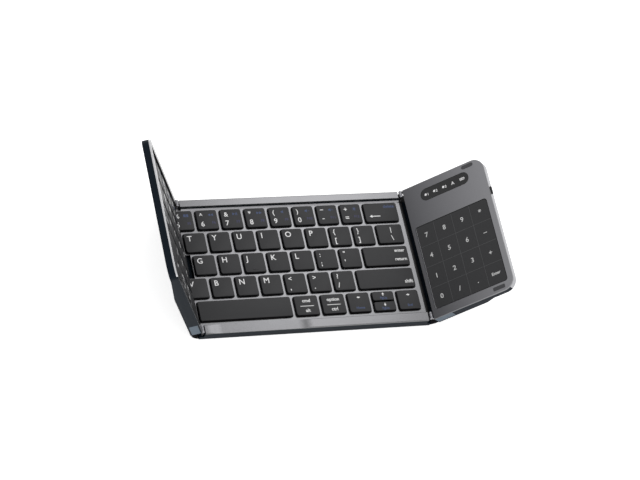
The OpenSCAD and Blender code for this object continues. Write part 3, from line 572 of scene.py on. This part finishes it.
keyNodes = [n for n, s in slotOf.items() if s == "key_plastic"]
capTree, capIds = makeCapTree()
capBoxes = {node: islands(node) for node in keyNodes}
for node in keyNodes:
    caps = [makeCap(capTree, capIds, box) for box in capBoxes[node]]
    toRest = flatten(bodyOf[node]).inverted()
    finishPiece("cap_" + node, gather(caps, toRest, finishes["key_plastic"], paintedShadeWall),
                bodyOf[node], [node])
print("key caps:", sum(len(b) for b in capBoxes.values()))


# shells, frames and rails with softened edges

softness = {  # mm
    "front_rail": 0.25, "back_rail": 0.25, "centre_top_frame": 0.12, "centre_tray": 0.25,
    "left_tray": 0.3, "right_tray": 0.3, "left_top_frame": 0.15, "right_top_frame": 0.45,
    "touch_glass": 0.4, "indicator_lens": 0.15, "right_bumpers": 0.1, "power_slider": 0.25,
    "mode_button": 0.2, "left_hinge_leaves": 0.15, "right_hinge_leaves": 0.15,
    "centre_hinge_leaves": 0.12, "centre_feet": 0.15, "left_feet": 0.15, "right_feet": 0.15,
}
softEdge = {"flat": 1, "sharp": 30, "corner": 40, "segments": 2}  # angles in degrees
# the thumb scoop's shallow ends run into the rail in a wide curve; reach in mm into each face
scoopEnds = {"node": "front_rail", "reach": 2.3, "angles": (2, 15), "segments": 6, "sharp": 3}


def softened(node, width, extra=(), rule=None):
    # extra: more finishes; the rule gives a face's number from its middle and normal when flat
    bm = bmesh.new()
    bm.from_mesh(frame["nodes"][node].data)
    bmesh.ops.remove_doubles(bm, verts=bm.verts, dist=tiny)
    bmesh.ops.dissolve_limit(bm, angle_limit=math.radians(softEdge["flat"]), verts=bm.verts,
                             edges=bm.edges)
    sharp = softEdge["sharp"]
    if node == scoopEnds["node"]:
        low, high = scoopEnds["angles"]
        ramps = [e for e in bm.edges if len(e.link_faces) == 2
                 and low < math.degrees(e.calc_face_angle()) < high]
        bmesh.ops.bevel(bm, geom=ramps, offset=scoopEnds["reach"] * mm, affect="EDGES",
                        segments=scoopEnds["segments"], profile=bevelProfile, clamp_overlap=True)
        sharp = scoopEnds["sharp"]
    mesh = toMesh(bm, "soft_" + node)
    shadeRound(mesh, sharp)
    holder = addObject("holder", mesh)
    bevel = holder.modifiers.new("bevel", "BEVEL")
    bevel.width, bevel.segments = width * mm, softEdge["segments"]
    bevel.limit_method, bevel.angle_limit = "ANGLE", math.radians(softEdge["corner"])
    bevel.use_clamp_overlap = bevel.harden_normals = True
    made = evaluated(holder)
    made.materials.clear()
    for finish in (finishes[slotOf[node]], *extra):
        made.materials.append(finish)
    if rule:
        toFlat = flatten(bodyOf[node])
        for face in made.polygons:
            at, way = toFlat @ face.center / mm, toFlat.to_3x3() @ face.normal
            face.material_index = int(rule(at, way))
    finishPiece("soft_" + node, made, bodyOf[node], [node], None)


leftAxis, rightAxis = (joints[n]["pos_m"][0] / mm for n in ("fold_left", "fold_right"))
axisHeight = joints["fold_left"]["pos_m"][2] / mm
rightEnd = islands("right_top_frame")[0][1].x / mm
rimTop = islands("left_top_frame")[0][1].z / mm
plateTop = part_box("centre_top_frame")[1][2] / mm
zone = {"rim": 1.4, "rightEnd": 7, "barrel": 1.45, "leafRoot": 2.4}  # mm
# the share of a face's normal along Z or X that tells walls, tops and ends apart
facing = {"upright": 0.15, "level": 0.98, "frameEnd": 0.25, "rimEnd": 0.35, "glassFold": 0.3,
          "trayEnd": 0.5}


def slanted(way):
    return facing["upright"] < way.z < facing["level"]


def rightEdges(at, way):
    # a dark joint line round the free end, a bright chamfer elsewhere
    if not slanted(way):
        return 0
    return 2 if way.x > facing["frameEnd"] else 1


def glassEdges(at, way):
    # a pale edge towards the fold, which is a painted highlight, and a black one elsewhere
    if not slanted(way):
        return 0
    return 2 if way.x < -facing["glassFold"] else 1


def leftRim(at, way):
    # the rim is cut bright round the free end and slate along the sides
    if at.z < rimTop - zone["rim"] or abs(way.z) > facing["level"]:
        return 0
    if way.x < -facing["rimEnd"]:
        return 1
    return 2 if way.z < facing["upright"] else 0


# the tray's free end, painted pale metal as a highlight
def trayEnd(at, way):
    return at.x > rightEnd - zone["rightEnd"] and way.x > facing["trayEnd"]


def hingeFinish(at, way):
    # the barrels bright, the leaf's root beside them painted black as shade, the rest in its own
    # finish
    fromAxis = min(abs(at.x - leftAxis), abs(at.x - rightAxis))
    if math.hypot(fromAxis, at.z - axisHeight) < zone["barrel"]:
        return 1
    return 2 if fromAxis < zone["leafRoot"] else 0


repainted = {
    "right_tray": ([paintedEdgeHighlight], trayEnd),
    "right_top_frame": ([dimChamfer, finishes["foot_rubber"]], rightEdges),
    "touch_glass": ([finishes["foot_rubber"], glassFoldHighlight], glassEdges),
    "right_bumpers": ([greySilicone], lambda at, way: 1),
    "left_top_frame": ([chamfer, finishes["shell_plastic"]], leftRim),
}
for side in ("right", "left", "centre"):
    repainted[side + "_hinge_leaves"] = ([barrelSteel, blackStripAndRootShade], hingeFinish)
for node, width in softness.items():
    softened(node, width, *repainted.get(node, ()))
print("softened pieces:", len(softness))


# the black strip along the right fold

strip = {"width": 2.3, "height": 0.12, "gap": 0.3, "edge": 0.05, "segments": 2, "sunk": 0.01}  # mm


def coverStrip():
    low, high = islands("centre_top_frame")[0]
    size = Vector((strip["width"] * mm, high.y - low.y - 2 * strip["gap"] * mm,
                   strip["height"] * mm))
    middle = (high.x - size.x / 2, (low.y + high.y) / 2,
              high.z + size.z / 2 - strip["sunk"] * mm)
    mesh = roundedBar("coverStrip", size, middle, strip["edge"], strip["segments"], blackStripAndRootShade)
    finishPiece("cover_strip", mesh, "centre")


# the key plate's back edge, bent up against the rail

curl = {"width": 1.3, "height": 0.3, "end": 3, "sunk": 0.02}  # mm


def plateCurl():
    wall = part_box("back_rail")[0][1] / mm
    front, behind, below = wall - curl["width"], wall + curl["sunk"], plateTop - curl["sunk"]
    section = [(front, below), (behind, below), (behind, plateTop + curl["height"]),
               (front, plateTop)]
    right = islands("centre_top_frame")[0][1].x / mm - strip["width"]
    sections = [[Vector((x, y, z)) * mm for y, z in section]
                for x in (leftAxis + curl["end"], right)]
    # the bent-up edge is painted pale, as a highlight
    finishPiece("plate_curl", lofted("plateCurl", sections, paintedEdgeHighlight), "centre")


coverStrip()
plateCurl()


# rubber covers that close the folds

cover = {  # mm; walls are distances from the fold's axis, outwards
    "radius": 7.9, "thick": 0.4, "steps": 18, "dip": 0.5, "inset": 0.3, "centreWall": 0.4,
    "wingWall": 1.6, "undercutWall": 5.1, "tabDrop": 5.3, "tabGap": 0.6, "capToEdge": 0.75,
}


def foldCover(name, wing, y0, y1, centreWall, wingWall, radius):
    # an arc round the fold's axis, from the centre's wall to the wing's
    fold = foldOf[wing]
    axis, side = Vector(fold["pos_m"]), 1 if wing == "right_wing" else -1
    begin = math.asin(centreWall / radius)
    end = math.radians(-fold["range_deg"][0]) + math.asin(wingWall / radius)
    dip, inner = cover["dip"] / radius, radius - cover["thick"]

    def at(angle, r, y):
        return axis + Vector((side * r * math.sin(angle), y, -r * math.cos(angle))) * mm

    angles = [begin - dip + (end - begin + 2 * dip) * k / cover["steps"]
              for k in range(cover["steps"] + 1)]
    sections = [[at(angle, r, y) for r, y in ((radius, y0), (radius, y1), (inner, y1), (inner, y0))]
                for angle in angles]
    mesh = lofted(name, sections, finishes["foot_rubber"])
    shadeRound(mesh, roundAngle)
    piece = addObject(name, mesh)
    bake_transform(piece)


def foldCovers():
    low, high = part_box("centre_tray")
    back, front = high[1] / mm - cover["inset"], low[1] / mm + cover["inset"]
    plain = (cover["centreWall"], cover["wingWall"], cover["radius"])
    rows = [capBoxes[n][0] for n in ("number_keys", "key_t", "key_g", "key_v")]
    half = (rows[0][0].y - rows[1][1].y) / 2
    ends = [(row[0].y - half) / mm for row in rows]
    cuts = [back, (rows[0][1].y + half) / mm, ends[0], ends[2], ends[3], front]
    tabRows = {1: rows[0], 3: rows[3]}  # strips whose key row reaches over the fold
    for k, (y1, y0) in enumerate(zip(cuts, cuts[1:])):
        walls = plain
        if k in tabRows:
            reach = leftAxis - tabRows[k][0].x / mm + cover["capToEdge"]
            walls = (reach, reach + cover["tabGap"], math.hypot(reach, cover["tabDrop"]))
        foldCover(f"fold_cover_left_{k + 1}", "left_wing", y0, y1, *walls)
    low, high = islands("centre_top_frame")[0]
    cuts = [back, high.y / mm, low.y / mm, front]
    undercut = (plain[0], cover["undercutWall"], plain[2])  # beside the key plate
    for k, (y1, y0) in enumerate(zip(cuts, cuts[1:])):
        foldCover(f"fold_cover_right_{k + 1}", "right_wing", y0, y1,
                  *(undercut if k == 1 else plain))


foldCovers()
print("fold covers made")


# printed signs

inkDepth = 0.012 * mm  # half of a sign's thickness
glyph = {"capShare": 0.72, "bold": 0.06, "steps": 3}  # a capital's share of the size; bold in mm


def prism(points, z):
    # a thin closed plate from a flat outline in mm
    bm = bmesh.new()
    face = bm.faces.new([bm.verts.new((x * mm, y * mm, z)) for x, y in points])
    top = bmesh.ops.extrude_face_region(bm, geom=[face])
    bmesh.ops.translate(bm, vec=(0, 0, 2 * inkDepth),
                        verts=[g for g in top["geom"] if isinstance(g, bmesh.types.BMVert)])
    return toMesh(bm, "prism")


def word(text, x, y, height, z, align="LEFT", bold=glyph["bold"]):
    # a text as a thin mesh with its baseline's end at (x, y), all in mm but z
    data = bpy.data.curves.new("word", "FONT")
    data.body, data.align_x = text, align
    data.size = height * mm / glyph["capShare"]
    data.extrude, data.resolution_u = inkDepth, glyph["steps"]
    data.offset = bold * mm
    mesh = evaluated(addObject("word", data))
    mesh.transform(Matrix.Translation((x * mm, y * mm, z + inkDepth)))
    return mesh


# outlines in mm round a point

def bar(x0, y0, x1, y1):
    return [(x0, y0), (x1, y0), (x1, y1), (x0, y1)]


def disc(x, y, r, n=20):
    return [(x + r * math.cos(2 * math.pi * i / n), y + r * math.sin(2 * math.pi * i / n))
            for i in range(n)]


def turned(points, degrees):
    c, s = math.cos(math.radians(degrees)), math.sin(math.radians(degrees))
    return [(x * c - y * s, x * s + y * c) for x, y in points]


def moved(points, x, y):
    return [(x + px, y + py) for px, py in points]


beam = ((1.05, 0.12), (1.6, 0.12), (1.6, -0.12), (1.05, -0.12))
sun = [disc(0, 0, 0.75)] + [[(math.cos(a) * r + math.sin(a) * w, math.sin(a) * r - math.cos(a) * w)
                             for r, w in beam] for a in (math.pi * k / 4 for k in range(8))]
back = [[(-1.9, 0), (-0.1, 1), (-0.1, -1)], [(0, 0), (1.8, 1), (1.8, -1)]]
ahead = [[(-x, -y) for x, y in shape] for shape in back]
play = [[(-1.7, 1), (0.1, 0), (-1.7, -1)], bar(0.4, -1, 0.8, 1), bar(1.2, -1, 1.6, 1)]
speaker = [[(-1.6, -0.5), (-0.9, -0.5), (0, -1.2), (0, 1.2), (-0.9, 0.5), (-1.6, 0.5)]]
quieter = speaker + [bar(0.6, -0.15, 1.7, 0.15)]
louder = quieter + [bar(1.0, -0.55, 1.3, 0.55)]
lens = [disc(-0.3, 0.3, 1.0), [(0.3, -0.5), (0.6, -0.2), (1.7, -1.3), (1.4, -1.6)]]
windows = [bar(-1.7, -0.9, -0.1, 1.1), bar(0.2, -0.9, 1.7, 1.1)]
point = [(-0.25, -1.1), (0.25, -1.1), (0.25, -0.1), (0.85, -0.1), (0, 1.3), (-0.85, -0.1),
         (-0.25, -0.1)]
longArrow = [(0, 0), (2.0, 1.1), (2.0, 0.3), (7.8, 0.3), (7.8, -0.3), (2.0, -0.3), (2.0, -1.1)]
battery = [bar(-1.9, -0.9, 1.3, -0.6), bar(-1.9, 0.6, 1.3, 0.9), bar(-1.9, -0.6, -1.6, 0.6),
           bar(1.0, -0.6, 1.3, 0.6), bar(1.3, -0.35, 1.7, 0.35), bar(-1.3, -0.3, 0.3, 0.3)]

keyPrint = {  # mm from a cap's left front corner; the last number of a sign's three is its height
    "letter": (2.2, 8.3, 4.0), "highWord": (2.2, 8.6, 2.6), "lowWord": (2.2, 2.6, 2.6),
    "upper": (8.9, 3.3), "lower": (2.3, 3.7), "signLeft": 2.5, "farSignLeft": 9.6,
    "icon": (10.2, 10.6), "label": (12.9, 3.9, 1.9),
    "lowLine": (2.3, 2.6, 10.8), "dash": (1.6, 3.0, 4.0), "halfLine": 0.25,
    "modifierRows": (9.4, 6.6, 2.3), "modifier": 2.4, "modifierRule": (4.7, 0.2),
    "arrow": 7.8, "tallArrow": (10.8, 2.4), "lowArrow": (4.6, 1.1), "arrowLabel": 1.7,
}


# each of these gives marks for one cap: (ink, text or outline, x, y, height, align)
def drawn(ink, outline, x, y):
    return (ink, outline, x, y, 0, "SHAPE")


def white(text, x, y, height, align="LEFT"):
    return ("white", text, x, y, height, align)


def letters(text):
    return [[white(c, *keyPrint["letter"])] for c in text]


def highWord(text):
    return [white(text, *keyPrint["highWord"])]


def lowWord(text):
    return [white(text, *keyPrint["lowWord"])]


def pair(upper, lower, x=keyPrint["signLeft"]):
    return [white(upper, x, *keyPrint["upper"]), white(lower, x, *keyPrint["lower"])]


def numberKey(upper, lower, icon, label):
    marks = pair(upper, lower) if upper else [  # a low line and a dash
        drawn("white", bar(0, -keyPrint["halfLine"], long, keyPrint["halfLine"]), x, y)
        for long, x, y in (keyPrint["lowLine"], keyPrint["dash"])]
    marks += [drawn("blue", outline, *keyPrint["icon"]) for outline in icon]
    marks.append(("dim", label, *keyPrint["label"], "RIGHT"))
    return marks


def modifier(upper, lower, middle):
    high, rule, low = keyPrint["modifierRows"]
    long, half = keyPrint["modifierRule"]
    return [white(upper, middle, high, keyPrint["modifier"], "CENTER"),
            white(lower, middle, low, keyPrint["modifier"], "CENTER"),
            drawn("white", bar(-long, -half, long, half), middle, rule)]


def arrowKey(degrees, label, rows):
    high, low = keyPrint[rows]
    return [drawn("white", turned(point, degrees), keyPrint["arrow"], high),
            ("blue", label, keyPrint["arrow"], low, keyPrint["arrowLabel"], "CENTER")]


signs = {
    "number_keys": [numberKey(*k) for k in (
        ("%", "5", windows, "F5"), ("^", "6", back, "F6"), ("&", "7", play, "F7"),
        ("*", "8", ahead, "F8"), ("(", "9", speaker, "F9"), (")", "0", quieter, "F10"),
        ("", "", louder, "F11"), ("+", "=", sun, "F12"))],
    "backspace_key": [[drawn("white", longArrow, 3.2, 4.3),
                       ("blue", "delete", 22.4, 10.4, 2.3, "RIGHT")]],
    "bracket_keys": [pair("{", "["), pair("}", "]"), pair("|", "\\", keyPrint["farSignLeft"])],
    "sign_keys": [pair(":", ";"), pair('"', "'")],
    "enter_key": [[white("enter", 29.9, 9.9, 2.4, "RIGHT"),
                   white("return", 30.5, 3.4, 2.4, "RIGHT")]],
    "stop_keys": [pair("<", ","), pair(">", "."), pair("?", "/")],
    "right_shift_key": [[white("shift", 39.2, 3.2, 2.5, "RIGHT")]],
    "modifier_keys": [modifier("cmd", "alt", 8.35), modifier("option", "ctrl", 8.35)],
    "arrow_keys": [arrowKey(90, "Home", "tallArrow"), arrowKey(0, "PgUp", "lowArrow"),
                   arrowKey(180, "PgDn", "lowArrow"), arrowKey(270, "End", "tallArrow")],
    "left_number_keys": [highWord("esc")] + [numberKey(*k) for k in (
        ("!", "1", lens, "F1"), ("@", "2", sun, "F2"), ("#", "3", sun, "F3"),
        ("$", "4", windows, "F4"))],
    "left_upper_keys": [lowWord("tab")] + letters("QWER"),
    "left_home_keys": [lowWord("caps lock")] + letters("ASDF"),
    "left_lower_keys": [lowWord("shift")] + letters("ZXC"),
    "left_bottom_keys": [highWord("fn"), highWord("ctrl"), modifier("option", "alt", 7.45),
                         modifier("cmd", "alt", 7.45), []],
}
for name in "tyuiopghjklvbnm":
    signs["key_" + name] = letters(name.upper())
keyInks = {"white": inks["whiteKeyInk"], "blue": inks["blueKeyInk"], "dim": inks["violetKeyInk"]}


def signMesh(drawing, x, y, height, z, align):
    if align == "SHAPE":
        return prism(moved(drawing, x, y), z)
    return word(drawing, x, y, height, z, align)


signCount = 0
for node, keys in signs.items():
    toRest = flatten(bodyOf[node]).inverted()
    byInk = {}
    for (low, high), marks in zip(capBoxes[node], keys):
        for ink, drawing, x, y, height, align in marks:
            byInk.setdefault(ink, []).append(signMesh(
                drawing, low.x / mm + x, low.y / mm + y, height, high.z, align))
    for ink, meshes in byInk.items():
        signCount += len(meshes)
        finishPiece(f"{ink}_signs_{node}", gather(meshes, toRest, keyInks[ink]), bodyOf[node])
print("signs:", signCount)


# homing bars

homing = {"length": 4.0, "width": 0.7, "height": 0.22, "fromFront": 2.2, "edge": 0.2,
          "segments": 3, "sunk": 0.03}  # mm


def homingBar(node, index, name):
    low, high = capBoxes[node][index]
    size = (homing["length"] * mm, homing["width"] * mm, 2 * homing["height"] * mm)
    middle = ((low.x + high.x) / 2, low.y + homing["fromFront"] * mm, high.z - homing["sunk"] * mm)
    mesh = roundedBar(name, size, middle, homing["edge"], homing["segments"],
                      finishes["key_plastic"])
    mesh.transform(flatten(bodyOf[node]).inverted())
    finishPiece(name, mesh, bodyOf[node])


homingBar("key_j", 0, "homing_bar_j")
homingBar("left_home_keys", 4, "homing_bar_f")


# the touch pad's print and the indicator's signs

pad = {  # mm
    "line": 0.2, "inset": 0.6, "digit": 3.4, "wordHeight": 2.1, "bold": 0.08,
    "signs": (("7", "8", "9", "*"), ("4", "5", "6", "\u2013"), ("1", "2", "3", "+"),
              ("0", "/", ".", "Enter")),
}
# places from the fold: three lamps with numbers, a capital for the caps lock and a battery
indicator = {"at": (18.2, 24.8, 31.8, 38.3, 45.7), "height": 2.3, "lamp": 0.85, "lampLeft": 0.7,
             "digitRight": 0.5, "digitShare": 0.8, "digitBold": 0.05}


def makeLineTree():
    # equal bars side by side: the pad's printed grid
    tree, ids, given = newTree("printedLines", {
        "Count": "NodeSocketInt", "Step": "NodeSocketVector", "Start": "NodeSocketVector",
        "Bar": "NodeSocketVector", "Ink": "NodeSocketMaterial"}, "Lines")
    row = addNode(tree, "GeometryNodeMeshLine", {"mode": "OFFSET"},
                  {"Count": given["Count"], "Start Location": given["Start"],
                   "Offset": given["Step"]})
    one = addNode(tree, "GeometryNodeMeshCube", None, {"Size": given["Bar"]})
    spread = addNode(tree, "GeometryNodeInstanceOnPoints", None,
                     {"Points": row.outputs[0], "Instance": one.outputs[0]})
    real = addNode(tree, "GeometryNodeRealizeInstances", None, {"Geometry": spread.outputs[0]})
    inked = addNode(tree, "GeometryNodeSetMaterial", None,
                    {"Geometry": real.outputs[0], "Material": given["Ink"]})
    addNode(tree, "NodeGroupOutput", None, {0: inked.outputs[0]})
    return tree, ids


def padPrint():
    low, high = islands("touch_glass")[0]
    toRest = flatten("right_wing").inverted()
    rowCount, columnCount = len(pad["signs"]), len(pad["signs"][0])
    cell = Vector(((high.x - low.x) / columnCount, (high.y - low.y) / rowCount, 0))
    middle, z = (low + high) / 2, high.z
    tree, ids = makeLineTree()
    wide, tall, inset = pad["line"] * mm, 2 * inkDepth, pad["inset"] * mm
    ink = inks["greyLineInk"]
    upright = grown(tree, ids, {
        "Count": columnCount - 1, "Start": (low.x + cell.x, middle.y, z), "Step": (cell.x, 0, 0),
        "Bar": (wide, high.y - low.y - 2 * inset, tall), "Ink": ink})
    across = grown(tree, ids, {
        "Count": rowCount - 1, "Start": (middle.x, low.y + cell.y, z), "Step": (0, cell.y, 0),
        "Bar": (high.x - low.x - 2 * inset, wide, tall), "Ink": ink})
    finishPiece("pad_lines", gather([upright, across], toRest, ink), "right_wing")
    meshes = []
    for r, row in enumerate(pad["signs"]):
        for c, text in enumerate(row):
            height = pad["wordHeight"] if len(text) > 1 else pad["digit"]
            x = (low.x + (c + 0.5) * cell.x) / mm
            y = (high.y - (r + 0.5) * cell.y) / mm - height / 2
            meshes.append(word(text, x, y, height, z, "CENTER", pad["bold"]))
    finishPiece("pad_signs", gather(meshes, toRest, inks["greyPadInk"]), "right_wing")


def indicatorSigns():
    low, high = islands("indicator_lens")[0]
    y, z = (low.y + high.y) / 2 / mm, high.z
    height = indicator["height"]
    lamps = [rightAxis + at for at in indicator["at"]]
    meshes = []
    for i, x in enumerate(lamps[:3]):
        lamp = disc(0, 0, indicator["lamp"])
        meshes.append(prism(moved(lamp, x - indicator["lampLeft"], y), z))
        meshes.append(word(str(i + 1), x + indicator["digitRight"], y - height / 2,
                           height * indicator["digitShare"], z, "LEFT", indicator["digitBold"]))
    meshes.append(word("A", lamps[3], y - height / 2, height, z, "CENTER"))
    meshes += [prism(moved(part, lamps[4], y), z) for part in battery]
    finishPiece("indicator_signs",
                gather(meshes, flatten("right_wing").inverted(), inks["whiteKeyInk"]),
                "right_wing")


padPrint()
indicatorSigns()
print("pad and indicator printed")
